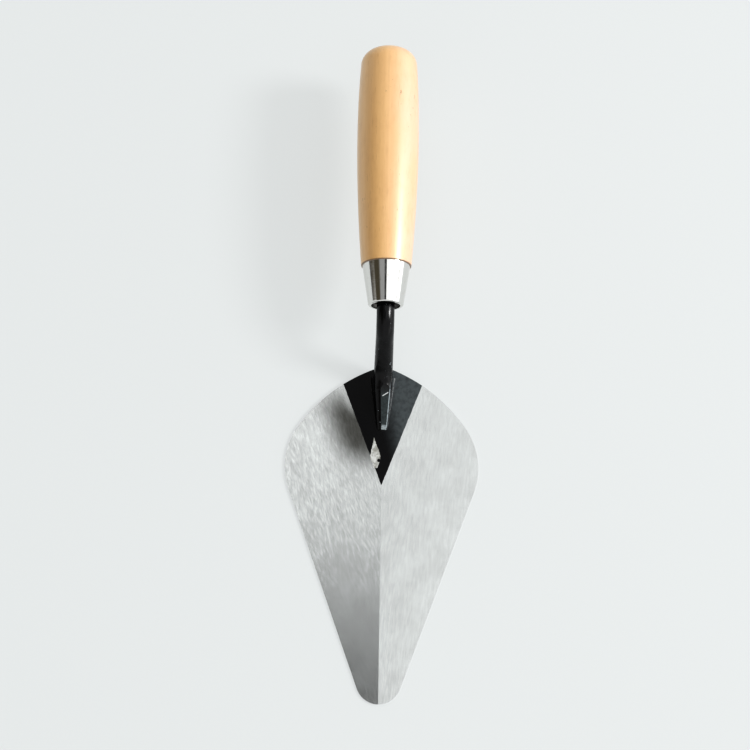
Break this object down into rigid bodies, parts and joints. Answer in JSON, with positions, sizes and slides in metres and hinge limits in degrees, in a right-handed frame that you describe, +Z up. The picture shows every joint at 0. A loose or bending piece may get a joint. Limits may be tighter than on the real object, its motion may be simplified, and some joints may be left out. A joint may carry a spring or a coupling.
{
  "type": "brick trowel",
  "caption": "Pointed bricklayer's trowel with a ground steel blade, a bent black shank welded to its heel, a bright tapered ferrule and a turned wooden handle.",
  "frame": {"origin": "on the surface that the trowel lies on, under the middle of its bounding box", "axes": "+Y from the blade's toe to the handle's butt, +Z up out of the blade's upper face, +X to the right seen from above with the butt away from the viewer"},
  "size_m": [0.102, 0.341, 0.0563],
  "materials": {
    "blade": "ground bright, with an unground patch at the heel in black lacquer",
    "shank": "gloss black lacquer, chipped",
    "shank_weld": "gloss black lacquer, chipped",
    "ferrule": "polished plate",
    "handle": "pale wood under clear gloss lacquer"
  },
  "bodies": {
    "root": {"blade": "blade", "shank": "shank", "shank_weld": "shank_weld", "ferrule": "ferrule", "handle": "handle"}
  },
  "joints": []
}
